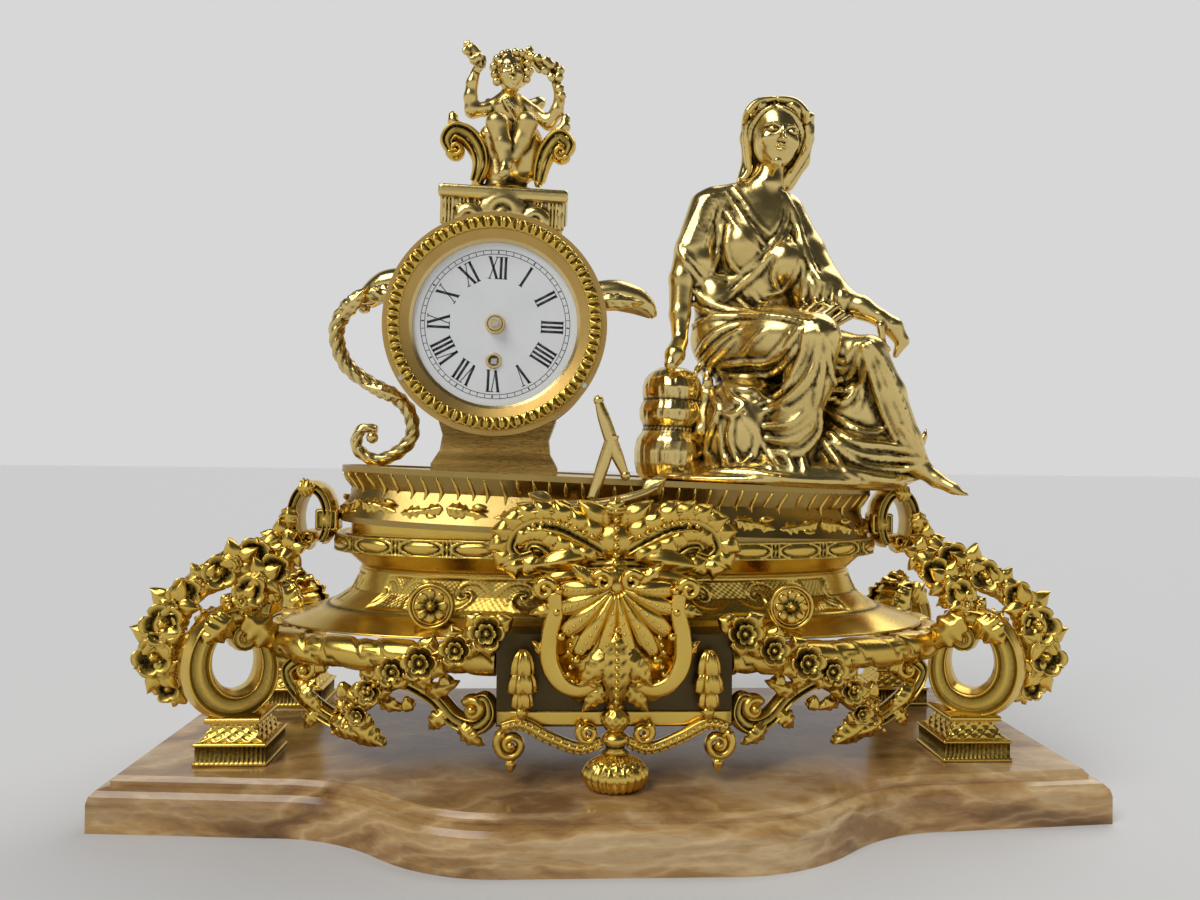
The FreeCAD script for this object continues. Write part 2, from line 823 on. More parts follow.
def make_crest(body_block, basin_block):
    """Two dotted acanthus scrolls that meet at a beaded middle, on the front of the egg band."""
    depth = crest_back_y - crest_front_y
    pieces = [limb([(0, crest_front_y + depth / 2, crest_z + crest_ball_radius * 1.4),
                    (0, crest_front_y + depth / 2, crest_z),
                    (0, crest_front_y + depth / 2, crest_z - crest_ball_radius * 1.2)],
                   [crest_ball_radius * 0.6, crest_ball_radius * 0.75, crest_ball_radius * 0.5], 1.0, 8)]
    for side in (-1, 1):
        places = []
        radii = []
        for across_share, rise_share, radius_share in ((0.04, 0.1, 1.0), (0.25, 0.1, 1.25), (0.48, 0.05, 1.1),
                                                       (0.70, 0.35, 0.95), (0.92, 0.0, 0.5)):
            places.append((side * crest_half_width * across_share,
                           crest_front_y + depth / 2 + across_share * depth / 3,
                           crest_z + crest_ball_radius * rise_share))
            radii.append(crest_ball_radius * radius_share)
        pieces.append(limb(places, radii, 0.75, 8))
    crest = fuse(pieces).cut(body_block).cut(basin_block)
    return max(crest.Solids, key=lambda solid: solid.Volume)


cluster_places = (
    (58.0, -66.0, 92.0, 10.0), (72.0, -64.0, 84.0, 8.0), (88.0, -62.0, 78.0, 10.0), (101.0, -58.0, 73.0, 8.0),
    (113.0, -52.0, 62.0, 7.0), (119.0, -48.0, 50.0, 6.0),
)


def make_cluster(side, cutters):
    """Rose, leaves and buds along the rail's front."""
    pieces = []
    line = []
    radii = []
    for x, y, z, radius in cluster_places:
        line.append((side * x, y, z))
        radii.append(radius * 0.7)
        pieces.append(bud((side * x, y - radius * 0.7, z + radius * 0.4),
                          (side * x, y + radius * 0.6, z - radius * 0.5), radius, 7))
    pieces.append(limb(line, radii, 0.8, 7))
    cluster = fuse(pieces)
    for cutter in cutters:
        cluster = cluster.cut(cutter)
    return max(cluster.Solids, key=lambda solid: solid.Volume)


rosette_x = 87.0
rosette_z = 99.0
rosette_radius = 11.0
rosette_thickness = 5.0
rosette_y = -41.0


def make_rosettes(body_block):
    discs = []
    for side in (-1, 1):
        disc = disc_y(side * rosette_x, rosette_z, rosette_radius, rosette_y, rosette_thickness * 5)
        disc = disc.cut(body_block)
        discs.append(max(disc.Solids, key=lambda solid: -solid.CenterOfMass.y))
    return Part.makeCompound(discs)


# Anchor behind the crest
anchor_y = -43.0
anchor_radius = 3.2
anchor_foot = (-11.6, 149.5)
anchor_head = (-2.6, 182.0)
anchor_stock_top = (-10.2, 197.6)
anchor_stock_low = (4.0, 163.0)
anchor_fluke_right = (20.0, 157.7)
anchor_fluke_left = (-38.5, 148.6)


def make_anchor(cutters):
    def at(place, y):
        return (place[0], y, place[1])
    foot_y = anchor_y - anchor_radius / 2
    shank = limb([at(anchor_foot, foot_y), at(anchor_head, anchor_y)],
                 [anchor_radius * 1.3, anchor_radius * 0.9], 1.0, 8)
    middle = ((anchor_stock_top[0] + anchor_stock_low[0]) / 2,
              (anchor_stock_top[1] + anchor_stock_low[1]) / 2)
    stock = limb([at(anchor_stock_top, anchor_y), at(middle, anchor_y), at(anchor_stock_low, anchor_y)],
                 [anchor_radius * 0.7, anchor_radius * 1.3, anchor_radius], 1.0, 8)
    dip = (anchor_foot[0], anchor_foot[1] - anchor_radius * 2)
    arms = limb([at(anchor_fluke_left, anchor_y), at(dip, foot_y), at(anchor_fluke_right, anchor_y)],
                [anchor_radius * 0.5, anchor_radius * 1.5, anchor_radius * 0.5], 1.0, 8)
    anchor = fuse([shank, stock, arms])
    for cutter in cutters:
        anchor = anchor.cut(cutter)
    return max(anchor.Solids, key=lambda solid: solid.Volume)


# Clock drum
def make_case(screw_holes, horns):
    """The drum: a round case with an inner shoulder for the movement and a flange for the door."""
    inner = case_radius - case_wall
    shoulder_y = front_plate_y + plate_thickness
    flange_y = case_back_y - case_flange_thickness
    case = turned([
        (case_radius, bezel_back_y), (case_radius, flange_y), (case_flange_radius, flange_y),
        (case_flange_radius, case_back_y), (inner, case_back_y), (inner, shoulder_y + case_wall),
        (shoulder_radius, shoulder_y + case_wall), (shoulder_radius, shoulder_y), (inner, shoulder_y),
        (inner, bezel_back_y)], drum_x, drum_z)
    bosses = []
    for x, z in bezel_boss_places():
        bosses.append(disc_y(x, z, bezel_boss_radius, bezel_back_y, bezel_boss_length))
    case = fuse([case] + bosses + horns)
    for hole in screw_holes:
        case = case.cut(hole)
    leaf_y = case_back_y - hinge_leaf_thickness
    leaf = Part.makeBox(hinge_offset - case_flange_radius + hinge_radius, hinge_leaf_thickness,
                        hinge_height / 3,
                        V(drum_x - hinge_offset, leaf_y, drum_z - hinge_height / 6))
    knuckle = Part.makeCylinder(hinge_radius, hinge_height / 3,
                                V(drum_x - hinge_offset, hinge_y, drum_z - hinge_height / 6))
    pin_hole = Part.makeCylinder(hinge_pin_radius, hinge_height,
                                 V(drum_x - hinge_offset, hinge_y, drum_z - hinge_height / 2))
    return case.fuse(leaf).fuse(knuckle).cut(pin_hole)


hinge_y = case_back_y


def make_door():
    """A dished round door on a side hinge, with a turned knob."""
    face_y = case_back_y + body_clearance
    door = turned([
        (0, face_y), (door_radius, face_y), (door_radius, face_y + door_thickness),
        (door_step_radius, face_y + door_thickness),
        (door_step_radius - door_dish, face_y + door_thickness + door_dish),
        (0, face_y + door_thickness + door_dish)], drum_x, drum_z)
    knob_x = drum_x + (door_radius + door_step_radius) / 2
    knob = disc_y(knob_x, drum_z, door_knob_radius, face_y + door_thickness, door_knob_length)
    door = door.fuse(knob)
    end_height = hinge_height / 3 - body_clearance
    for low in (drum_z - hinge_height / 2, drum_z + hinge_height / 6 + body_clearance):
        knuckle = Part.makeCylinder(hinge_radius, end_height, V(drum_x - hinge_offset, hinge_y, low))
        leaf = Part.makeBox(hinge_offset - door_radius + hinge_radius, door_thickness, end_height,
                            V(drum_x - hinge_offset, face_y, low))
        door = door.fuse(knuckle).fuse(leaf)
    pin_hole = Part.makeCylinder(hinge_pin_radius + pivot_clearance, hinge_height + 2 * cut_overrun,
                                 V(drum_x - hinge_offset, hinge_y, drum_z - hinge_height / 2 - cut_overrun))
    return door.cut(pin_hole)


def make_hinge_pin():
    return Part.makeCylinder(hinge_pin_radius, hinge_height,
                             V(drum_x - hinge_offset, hinge_y, drum_z - hinge_height / 2))


bezel_screw_degrees = (213.0, 328.0)
bezel_screw_circle = 54.9
bezel_screw_radius = 0.8
bezel_screw_head = 1.3
bezel_screw_length = 14.0
bezel_boss_circle = 53.6
bezel_boss_radius = 3.2
bezel_boss_length = 8.0


def bezel_screw_places():
    return [polar((drum_x, drum_z), degrees, bezel_screw_circle) for degrees in bezel_screw_degrees]


def bezel_boss_places():
    return [polar((drum_x, drum_z), degrees, bezel_boss_circle) for degrees in bezel_screw_degrees]


def make_bezel():
    rebate = dial_radius + bezel_rebate_clearance
    bezel = turned([
        (bezel_opening, dial_face_y), (bezel_opening, sight_front_y),
        (bezel_ring_inner, bezel_front_y + dial_thickness),
        (bezel_ring_inner, bezel_front_y), (bezel_ring_outer, bezel_front_y),
        (bezel_ring_outer, bezel_rim_front_y),
        (bezel_radius, bezel_rim_front_y), (bezel_radius, bezel_back_y), (rebate, bezel_back_y),
        (rebate, dial_face_y)], drum_x, drum_z)
    for x, z in bezel_screw_places():
        bezel = bezel.cut(disc_y(x, z, bezel_screw_radius, bezel_rim_front_y - cut_overrun,
                                 bezel_screw_length))
    return bezel


def make_sight_ring():
    outer = bezel_opening - seat_clearance
    return turned([(sight_opening, dial_face_y), (sight_opening, sight_front_y + dial_thickness),
                   (outer, sight_front_y), (outer, dial_face_y)], drum_x, drum_z)


dial_foot_radius = 1.0
dial_foot_circle = 38.5
dial_foot_degrees = (60.0, 190.0, 290.0)


def make_dial():
    face = disc_y(drum_x, drum_z, dial_radius, dial_face_y, dial_thickness)
    pieces = [face]
    for degrees in dial_foot_degrees:
        angle = math.radians(degrees)
        x = drum_x + dial_foot_circle * math.cos(angle)
        z = drum_z + dial_foot_circle * math.sin(angle)
        length = front_plate_y + plate_thickness - dial_face_y
        pieces.append(disc_y(x, z, dial_foot_radius, dial_face_y, length))
    dial = fuse(pieces)
    dial = dial.cut(disc_y(drum_x, drum_z, collar_bore, dial_face_y - cut_overrun,
                           dial_thickness + 2 * cut_overrun))
    return dial.cut(disc_y(drum_x, drum_z - barrel_drop, grommet_bore, dial_face_y - cut_overrun,
                           dial_thickness + 2 * cut_overrun))


def make_collar(x, z, radius, bore, height):
    """A domed ring that dresses a hole in the dial."""
    return turned([(bore, dial_face_y), (radius, dial_face_y), (radius * 0.9, dial_face_y - height * 0.5),
                   ((radius + bore) / 2, dial_face_y - height), (bore, dial_face_y - height)], x, z)


def make_pedestal(case_block, holes):
    """A spreading foot with hollow sides that carries the drum."""
    low = deck_top
    high = drum_z - case_radius + case_wall * 3
    rise = high - low
    halves = ((pedestal_bottom_width, 0.0), (pedestal_bottom_width, 0.12),
              (pedestal_waist_width * 1.04, 0.35),
              (pedestal_waist_width, 0.6), (pedestal_top_width, 0.92), (pedestal_top_width, 1.0))
    right = [V(pedestal_x + width / 2, pedestal_y - pedestal_depth / 2, low + rise * share) for width,
             share in halves]
    left = [V(2 * pedestal_x - point.x, point.y, point.z) for point in right[::-1]]
    points = right + left
    body = Part.Face(Part.makePolygon(points + points[:1])).extrude(V(0, pedestal_depth, 0))
    body = body.cut(case_block)
    for hole in holes:
        body = body.cut(hole)
    return body


# Console scroll and horns of the drum
console_y = 0.0
console_thickness = 12.0
console_line = (
    (-116.5, 247.0), (-128.0, 249.0), (-139.5, 243.0), (-146.5, 228.0), (-141.0, 213.0), (-129.0, 204.5),
    (-116.0, 198.0), (-106.0, 189.0), (-105.5, 176.0), (-114.0, 167.5), (-125.0, 164.0), (-134.0, 171.0),
    (-130.0, 180.0), (-122.0, 178.0),
)
console_widths = (7.0, 8.0, 8.5, 8.0, 7.5, 8.0, 8.0, 7.5, 7.5, 7.5, 7.0, 7.0, 6.5, 6.0)
horn_route_left = ((-112.0, 8.0, 258.0), (-124.0, 8.0, 256.0), (-134.0, 8.0, 250.0))
horn_route_right = ((-15.0, 8.0, 256.0), (0.0, 8.0, 258.0), (12.0, 8.0, 255.0), (19.0, 8.0, 249.0))
horn_radii_left = (7.0, 8.0, 5.0)
horn_radii_right = (7.0, 8.0, 7.0, 3.0)


def make_console(cutters):
    console = band(console_line, console_widths, console_y, console_thickness)
    for cutter in cutters:
        console = console.cut(cutter)
    return max(console.Solids, key=lambda solid: solid.Volume)


def make_horn(route, radii, cutters):
    horn = limb(route, radii, 0.9, 8)
    for cutter in cutters:
        horn = horn.cut(cutter)
    return max(horn.Solids, key=lambda solid: solid.Volume)


# Crest platform, leaf scrolls and putto
platform_x = -63.0
platform_y = 14.0
platform_low = 286.0
platform_top = 308.0
platform_width = 66.0
platform_neck_width = 60.0
platform_depth = 40.0


def make_platform(case_block):
    levels = ((platform_neck_width * 0.8, 0.0), (platform_neck_width, 0.5), (platform_width, 0.62),
              (platform_width, 1.0))
    half_depth_share = platform_depth / platform_width
    wires = []
    for width, share in levels:
        half = width / 2
        deep = half * half_depth_share
        height = platform_low + (platform_top - platform_low) * share
        points = [V(platform_x - half, platform_y - deep, height),
                  V(platform_x + half, platform_y - deep, height),
                  V(platform_x + half, platform_y + deep, height),
                  V(platform_x - half, platform_y + deep, height)]
        wires.append(Part.makePolygon(points + points[:1]))
    return Part.makeLoft(wires, True, True).cut(case_block)


leaf_scroll_shares = ((0.28, 0.0), (0.36, 0.16), (0.42, 0.34), (0.52, 0.52), (0.66, 0.62), (0.80, 0.52),
                      (0.72, 0.38))
leaf_scroll_width_shares = (0.30, 0.24, 0.20, 0.22, 0.26, 0.24, 0.16)
leaf_scroll_size = 48.0
leaf_scroll_thickness = 14.0


def make_leaf_scroll(side):
    line = [(platform_x + side * leaf_scroll_size * x, platform_top + leaf_scroll_size * z) for x,
            z in leaf_scroll_shares]
    widths = [leaf_scroll_size * share for share in leaf_scroll_width_shares]
    return band(line, widths, platform_y - leaf_scroll_thickness / 2, leaf_scroll_thickness)


putto_torso_shares = (
    (-0.02, 0.02, 0.0, 0.115, 0.11), (0.0, 0.02, 0.10, 0.16, 0.14), (0.02, 0.02, 0.22, 0.13, 0.12),
    (0.01, 0.0, 0.34, 0.12, 0.10), (0.0, 0.0, 0.50, 0.15, 0.10), (0.0, 0.0, 0.58, 0.14, 0.085),
    (0.0, 0.0, 0.63, 0.05, 0.05),
)
putto_head_shares = (
    (0.0, -0.01, 0.61, 0.05, 0.05), (-0.01, -0.02, 0.68, 0.105, 0.11), (-0.01, -0.01, 0.78, 0.135, 0.14),
    (-0.01, 0.0, 0.88, 0.115, 0.12), (-0.01, 0.0, 0.94, 0.05, 0.05),
)


figure_sides = 20
figure_steps = 3
limb_sides = 12


def make_putto(cutters):
    """A seated child figure with both arms raised."""
    h = putto_height

    def at(x_share, y_share, z_share):
        return (platform_x + h * x_share, platform_y + h * y_share, platform_top + h * z_share)

    def rows(shares):
        return [at(x, y, z) + (h * a, h * b) for x, y, z, a, b in shares]

    pieces = [oval_form(eased(rows(putto_torso_shares), figure_steps), figure_sides),
              oval_form(eased(rows(putto_head_shares), figure_steps), figure_sides)]
    arms = (
        ((0.10, 0.0, 0.54), (0.24, -0.02, 0.55), (0.27, -0.03, 0.72), (0.26, -0.04, 0.90)),
        ((-0.10, 0.0, 0.54), (-0.23, -0.02, 0.53), (-0.26, -0.03, 0.72), (-0.27, -0.03, 0.93)),
    )
    for route in arms:
        pieces.append(limb([at(*place) for place in route],
                           [h * share for share in (0.055, 0.045, 0.035, 0.045)], 1.0,
                           limb_sides, figure_steps))
    for side in (-1, 1):
        leg = ((side * 0.08, 0.0, 0.08), (side * 0.10, -0.16, 0.14), (side * 0.07, -0.19, 0.0),
               (side * 0.05, -0.22, -0.10))
        pieces.append(limb([at(*place) for place in leg],
                           [h * share for share in (0.085, 0.075, 0.055, 0.035)], 1.0,
                           limb_sides, figure_steps))
    bunch = limb([at(0.26, -0.04, 0.86), at(0.18, -0.05, 0.92), at(0.08, -0.05, 0.96)],
                 [h * 0.06, h * 0.07, h * 0.05], 1.0, 7)
    flowers = limb([at(-0.27, -0.03, 0.88), at(-0.30, -0.03, 1.0)], [h * 0.06, h * 0.045], 1.0, 7)
    figure = fuse(pieces + [bunch, flowers])
    for cutter in cutters:
        figure = figure.cut(cutter)
    return max(figure.Solids, key=lambda solid: solid.Volume)


# Seated woman and the bale she leans on
woman_x = 75.0
woman_y = 12.0
woman_robe_shares = (
    (0.135, -0.02, 0.0, 0.225, 0.160), (0.15, -0.02, 0.035, 0.235, 0.165), (0.15, -0.02, 0.10, 0.235, 0.165),
    (0.135, -0.02, 0.20, 0.25, 0.155), (0.12, -0.03, 0.29, 0.235, 0.16), (0.09, -0.02, 0.355, 0.22, 0.155),
    (0.04, 0.01, 0.41, 0.165, 0.125), (0.01, 0.035, 0.48, 0.12, 0.095), (0.0, 0.04, 0.56, 0.13, 0.085),
    (0.0, 0.035, 0.64, 0.145, 0.085), (-0.01, 0.04, 0.70, 0.13, 0.07), (0.005, 0.045, 0.745, 0.075, 0.05),
    (0.015, 0.04, 0.775, 0.036, 0.036), (0.03, 0.035, 0.81, 0.034, 0.036),
)
woman_head_shares = (
    (0.035, 0.02, 0.805, 0.03, 0.035), (0.045, 0.012, 0.84, 0.055, 0.065), (0.05, 0.018, 0.89, 0.075, 0.085),
    (0.05, 0.025, 0.94, 0.075, 0.085), (0.05, 0.03, 0.98, 0.055, 0.065), (0.05, 0.03, 1.0, 0.02, 0.02),
)


def woman_rows(shares):
    """Levels of the seated figure in millimetres, from shares of its height."""
    h = woman_height
    return [(woman_x + h * x, woman_y + h * y, deck_top + h * z, h * a, h * b) for x, y, z, a, b in shares]


def make_woman(cutters):
    """A seated draped figure: robe and torso, head, two arms, the crossed leg and its foot."""
    h = woman_height

    def at(x_share, y_share, z_share):
        return (woman_x + h * x_share, woman_y + h * y_share, deck_top + h * z_share)

    pieces = [oval_form(eased(woman_rows(woman_robe_shares), figure_steps), figure_sides),
              oval_form(eased(woman_rows(woman_head_shares), figure_steps), figure_sides)]
    left_arm = ((-0.12, 0.04, 0.69), (-0.165, 0.04, 0.62), (-0.20, 0.045, 0.50), (-0.195, 0.02, 0.38),
                (-0.18, -0.01, 0.30))
    right_arm = ((0.12, 0.04, 0.69), (0.19, 0.04, 0.58), (0.25, 0.02, 0.49), (0.31, -0.03, 0.43),
                 (0.345, -0.06, 0.36))
    pieces.append(limb([at(*place) for place in left_arm],
                       [h * share for share in (0.05, 0.055, 0.042, 0.036, 0.03)],
                       1.0, limb_sides, figure_steps))
    pieces.append(limb([at(*place) for place in right_arm],
                       [h * share for share in (0.05, 0.06, 0.04, 0.03, 0.03)],
                       1.0, limb_sides, figure_steps))
    thigh = ((0.02, -0.02, 0.36), (0.14, -0.08, 0.37), (0.26, -0.12, 0.33))
    shin = ((0.24, -0.11, 0.34), (0.33, -0.12, 0.20), (0.40, -0.13, 0.09), (0.44, -0.14, 0.045),
            (0.50, -0.16, 0.012))
    pieces.append(limb([at(*place) for place in thigh], [h * share for share in (0.08, 0.09, 0.075)], 1.0,
                       limb_sides,
                       figure_steps))
    pieces.append(limb([at(*place) for place in shin],
                       [h * share for share in (0.075, 0.06, 0.045, 0.025, 0.012)],
                       1.0, limb_sides, figure_steps))
    figure = fuse(pieces)
    for cutter in cutters:
        figure = figure.cut(cutter)
    return max(figure.Solids, key=lambda solid: solid.Volume)


bale_x = 33.0
bale_y = 20.0
bale_half_width = 18.0
bale_half_depth = 22.0
bale_height = 62.0


def make_bale():
    rows = []
    for rise_share, width_share in ((0.0, 0.86), (0.08, 0.97), (0.25, 1.0), (0.44, 0.95), (0.50, 0.84),
                                    (0.56, 0.92),
                                    (0.75, 0.93), (0.92, 0.86), (1.0, 0.62)):
        rows.append((bale_x, bale_y, deck_top + bale_height * rise_share, bale_half_width * width_share,
                     bale_half_depth * width_share))
    return oval_form(eased(rows, figure_steps), figure_sides)


# Bolts that hold the pedestal and the figures
bolt_radius = 2.0
bolt_hole_radius = 2.4
bolt_head_radius = 4.0
bolt_head_height = 3.0
deck_bolt_length = 14.0
pedestal_bolt_length = 34.0
deck_bolt_places = ((72.0, 12.0), (118.0, 12.0), (33.0, 20.0))
pedestal_bolt_places = ((-61.5, 8.0), (-61.5, 28.0))
bolt_group = []
for bolt_places, bolt_length in ((deck_bolt_places, deck_bolt_length),
                                 (pedestal_bolt_places, pedestal_bolt_length)):
    for bolt_x, bolt_y in bolt_places:
        bolt_group.append((bolt_x, bolt_y, bolt_length))


def bolt_shanks(radius):
    shanks = []
    for x, y, length in bolt_group:
        shanks.append(rod((x, y, deck_low), (x, y, deck_low + length), radius))
    return shanks


def make_deck_bolts():
    bolts = []
    for (x, y, length), shank in zip(bolt_group, bolt_shanks(bolt_radius)):
        head = hexagon_nut(x, y, deck_low - bolt_head_height, bolt_head_radius, bolt_head_height)
        bolts.append(head.fuse(shank))
    return Part.makeCompound(bolts)


# Movement wheels
def polar(centre, degrees, distance):
    angle = math.radians(degrees)
    return (centre[0] + distance * math.cos(angle), centre[1] + distance * math.sin(angle))


def pitch_radius(teeth, module):
    return teeth * module / 2


wheel_addendum_share = 0.75
wheel_dedendum_share = 1.15
pinion_addendum_share = 0.70
pinion_dedendum_share = 1.05
tooth_root_share = 0.50
tooth_tip_share = 0.20


def gear(centre, teeth, module, degrees, y, thickness, addendum_share, dedendum_share, bore=0.0, windows=0):
    """A spur wheel with straight-sided teeth, one of them centred on the given direction."""
    tip = pitch_radius(teeth, module) + module * addendum_share
    root = pitch_radius(teeth, module) - module * dedendum_share
    step = 2 * math.pi / teeth
    points = []
    for index in range(teeth):
        middle = math.radians(degrees) + index * step
        for radius, offset in ((root, -tooth_root_share / 2), (tip, -tooth_tip_share / 2),
                               (tip, tooth_tip_share / 2),
                               (root, tooth_root_share / 2)):
            angle = middle + offset * step
            points.append(V(centre[0] + radius * math.cos(angle), y, centre[1] + radius * math.sin(angle)))
    wheel = Part.Face(Part.makePolygon(points + points[:1]))
    for window in range(windows):
        wheel = wheel.cut(window_face(centre, root, y, full_turn / windows * window, full_turn / windows))
    solid = wheel.extrude(V(0, thickness, 0))
    if bore > 0:
        solid = solid.cut(disc_y(centre[0], centre[1], bore, y - cut_overrun, thickness + 2 * cut_overrun))
    return solid


window_rim_share = 0.84
window_hub_share = 0.26
window_arm_share = 0.16


def window_face(centre, root, y, degrees, spread):
    """One opening between two arms of a wheel."""
    points = []
    arm = spread * window_arm_share
    for radius_share, angle in ((window_hub_share, arm * 2), (window_rim_share, arm),
                                (window_rim_share, spread / 2),
                                (window_rim_share, spread - arm), (window_hub_share, spread - arm * 2)):
        place = polar(centre, degrees + angle, root * radius_share)
        points.append(V(place[0], y, place[1]))
    return Part.Face(Part.makePolygon(points + points[:1]))


centre_at = (drum_x, drum_z)
barrel_at = (drum_x, drum_z - barrel_drop)
great_module = 2 * barrel_drop / (great_teeth + centre_pinion_teeth)
third_at = polar(centre_at, third_degrees, pitch_radius(centre_teeth + third_pinion_teeth, centre_module))
fourth_at = polar(third_at, fourth_degrees, pitch_radius(third_teeth + fourth_pinion_teeth, third_module))
escape_at = polar(fourth_at, escape_degrees, pitch_radius(fourth_teeth + escape_pinion_teeth, fourth_module))
lever_at = polar(escape_at, lever_degrees, lever_distance)
balance_at = polar(lever_at, balance_degrees, balance_distance)
minute_distance = pitch_radius(cannon_teeth + minute_teeth, minute_module)
minute_at = polar(centre_at, minute_degrees, minute_distance)
hour_module = 2 * minute_distance / (minute_pinion_teeth + hour_teeth)

inner_front_y = front_plate_y + plate_thickness
centre_wheel_y = barrel_front_y + barrel_length + wheel_thickness
third_wheel_y = centre_wheel_y - 2 * pinion_length + wheel_thickness
fourth_wheel_y = third_wheel_y - pinion_length - wheel_thickness / 2
escape_wheel_y = third_wheel_y + 2 * wheel_thickness
motion_y = front_plate_y - wheel_thickness - 2 * body_clearance
hour_wheel_y = motion_y - 2 * wheel_thickness
ratchet_y = front_plate_y - wheel_thickness - 2 * body_clearance
outer_back_y = back_plate_y + plate_thickness
pivot_reach = plate_thickness * 0.6


def pinion(centre, teeth, module, degrees, wheel_y):
    """A pinion set about the middle of the wheel that drives it."""
    low = wheel_y + wheel_thickness / 2 - pinion_length / 2
    return gear(centre, teeth, module, degrees, low, pinion_length, pinion_addendum_share,
                pinion_dedendum_share)


def arbor(centre):
    """A steel arbor between the plates with a thinner pivot at each end."""
    low = inner_front_y + body_clearance
    high = back_plate_y - body_clearance
    shaft = disc_y(centre[0], centre[1], arbor_radius, low, high - low)
    pivot_low = inner_front_y - pivot_reach
    pivot = disc_y(centre[0], centre[1], pivot_radius, pivot_low, back_plate_y + pivot_reach - pivot_low)
    return shaft.fuse(pivot)


def pivot_hole(centre, radius):
    return disc_y(centre[0], centre[1], radius + pivot_clearance, front_plate_y - cut_overrun,
                  outer_back_y - front_plate_y + 2 * cut_overrun)


def make_centre_wheel():
    """The wheel that turns once an hour, with the arbor that carries the cannon pinion."""
    wheel = gear(centre_at, centre_teeth, centre_module, third_degrees, centre_wheel_y, wheel_thickness,
                 wheel_addendum_share, wheel_dedendum_share, 0.0, 4)
    small = pinion(centre_at, centre_pinion_teeth, great_module, -90.0, barrel_front_y + wheel_thickness / 2)
    low = inner_front_y + body_clearance
    shaft = disc_y(centre_at[0], centre_at[1], centre_radius, cannon_front_y + cut_overrun,
                   back_plate_y - body_clearance - cannon_front_y - cut_overrun)
    pivot = disc_y(centre_at[0], centre_at[1], pivot_radius, low, outer_back_y - low + pivot_radius)
    return fuse([shaft, pivot, small, wheel])


def make_train_wheel(centre, teeth, module, mesh_degrees, wheel_y, pinion_teeth, pinion_module,
                     pinion_degrees,
                     driver_y):
    wheel = gear(centre, teeth, module, mesh_degrees, wheel_y, wheel_thickness, wheel_addendum_share,
                 wheel_dedendum_share, 0.0, 4)
    small = pinion(centre, pinion_teeth, pinion_module, pinion_degrees, driver_y)
    return fuse([arbor(centre), small, wheel])


def facing(degrees, teeth):
    """The direction that puts a gap of the follower opposite a tooth of the driver."""
    return degrees + full_turn / 2 + full_turn / teeth / 2


def make_escape_wheel():
    step = 2 * math.pi / escape_teeth
    root = escape_radius - escape_tooth_depth
    points = []
    for index in range(escape_teeth):
        middle = index * step
        for radius, offset in ((root, 0.0), (escape_radius, 0.02), (escape_radius, 0.16), (root, 0.42)):
            angle = middle + offset * step
            points.append(V(escape_at[0] + radius * math.cos(angle), escape_wheel_y,
                            escape_at[1] + radius * math.sin(angle)))
    wheel = Part.Face(Part.makePolygon(points + points[:1]))
    for window in range(3):
        wheel = wheel.cut(window_face(escape_at, root, escape_wheel_y, 120.0 * window, 120.0))
    solid = wheel.extrude(V(0, wheel_thickness, 0))
    small = pinion(escape_at, escape_pinion_teeth, fourth_module, facing(escape_degrees, escape_pinion_teeth),
                   fourth_wheel_y)
    return fuse([arbor(escape_at), small, solid])


pallet_pin_radius = 0.35
pallet_gap = 0.42
lever_width = 1.8
lever_y_gap = 0.3
lever_thickness = 1.0
pallet_half_degrees = 30.0


def make_lever():
    """Pin-pallet lever: a hub, two arms with steel pins round the escape wheel and a fork at the balance."""
    y = escape_wheel_y - lever_thickness - lever_y_gap
    hub = disc_y(lever_at[0], lever_at[1], lever_width, y, lever_thickness)
    pieces = [hub, arbor(lever_at)]
    reach = escape_radius + pallet_pin_radius + pallet_gap
    for side in (-1, 1):
        pin_at = polar(escape_at, lever_degrees + side * pallet_half_degrees, reach)
        pieces.append(flat_arm(lever_at, pin_at, lever_width * 0.8, y, lever_thickness))
        pieces.append(disc_y(pin_at[0], pin_at[1], pallet_pin_radius, y,
                             lever_thickness + lever_y_gap + wheel_thickness))
    fork_end = balance_distance - roller_radius - 2 * body_clearance
    tip = polar(lever_at, balance_degrees, fork_end)
    pieces.append(flat_arm(lever_at, tip, lever_width * 0.8, y, lever_thickness))
    lever = fuse(pieces)
    notch = disc_y(tip[0], tip[1], lever_width * 0.3, y - cut_overrun, lever_thickness + 2 * cut_overrun)
    clear = disc_y(balance_at[0], balance_at[1], roller_radius + body_clearance, y - cut_overrun,
                   lever_thickness + 2 * cut_overrun)
    return lever.cut(notch).cut(clear)


def flat_arm(start, end, width, y, thickness):
    """A flat bar between two places of the movement, with a round end."""
    run = V(end[0] - start[0], 0, end[1] - start[1])
    side = V(run.z, 0, -run.x)
    side.normalize()
    side = side * (width / 2)
    a = V(start[0], y, start[1])
    b = V(end[0], y, end[1])
    points = [a + side, b + side, b - side, a - side]
    bar = Part.Face(Part.makePolygon(points + points[:1])).extrude(V(0, thickness, 0))
    return bar.fuse(disc_y(end[0], end[1], width / 2, y, thickness))


impulse_pin_radius = 0.35
hairspring_y_gap = 1.4
cock_thickness = 1.6
cock_gap = 5.0


